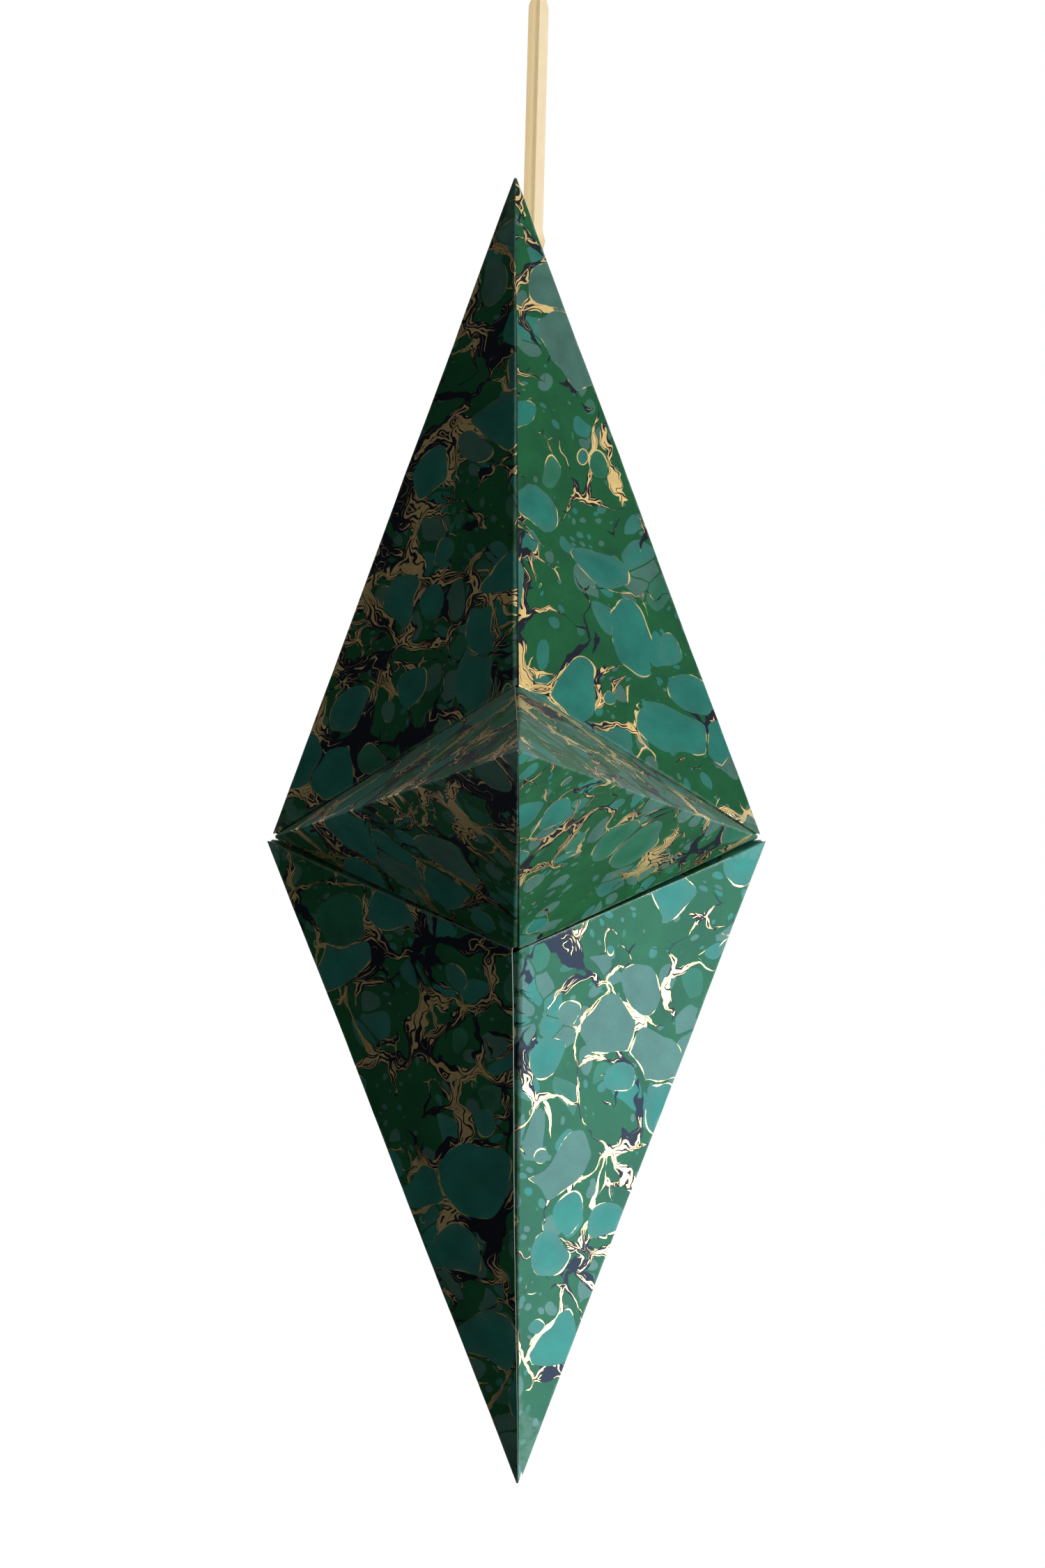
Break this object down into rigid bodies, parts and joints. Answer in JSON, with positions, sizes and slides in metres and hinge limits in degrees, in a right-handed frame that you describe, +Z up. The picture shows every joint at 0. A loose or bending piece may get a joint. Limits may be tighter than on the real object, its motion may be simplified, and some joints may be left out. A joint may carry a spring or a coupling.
{
  "type": "hanging paper star",
  "caption": "Hollow folded paper star with long pointed arms, in marbled paper, hung by one point from a narrow satin ribbon with a loop.",
  "frame": {"origin": "the top of the ribbon's loop, on its inside, where it bears on a hook", "axes": "+Z up along the plumb ribbon, +X to the right towards one of the star's two side corners, -Y towards the viewer along the front point"},
  "size_m": [0.0867, 0.1852, 0.2905],
  "materials": {
    "marbled_paper": "satin, marbled in green, teal, black and gold",
    "satin_ribbon": "satin, pale gold"
  },
  "bodies": {
    "hanging_loop": {"ribbon_hanging_loop": "satin_ribbon"},
    "upper_knot": {"ribbon_upper_knot": "satin_ribbon"},
    "ribbon": {"ribbon_left_strand": "satin_ribbon", "ribbon_right_strand": "satin_ribbon"},
    "star": {"top_point_left_half": "marbled_paper", "top_point_right_half": "marbled_paper", "front_point_left_half": "marbled_paper", "front_point_right_half": "marbled_paper", "bottom_point_left_half": "marbled_paper", "bottom_point_right_half": "marbled_paper", "back_point_left_half": "marbled_paper", "back_point_right_half": "marbled_paper", "ribbon_left_tail": "satin_ribbon", "ribbon_right_tail": "satin_ribbon", "ribbon_stop_knot": "satin_ribbon"}
  },
  "joints": [
    {"name": "ribbon_sway", "type": "hinge", "parent": "hanging_loop", "child": "upper_knot", "pos_m": [0, 0, -0.022], "axis": [1, 0, 0], "range_deg": [-40, 40]},
    {"name": "ribbon_swing", "type": "hinge", "parent": "upper_knot", "child": "ribbon", "pos_m": [0, 0, -0.022], "axis": [0, 1, 0], "range_deg": [-40, 40]},
    {"name": "star_turn", "type": "hinge", "parent": "ribbon", "child": "star", "pos_m": [0, 0, -0.0653], "axis": [0, 0, 1], "range_deg": [-180, 180]}
  ]
}
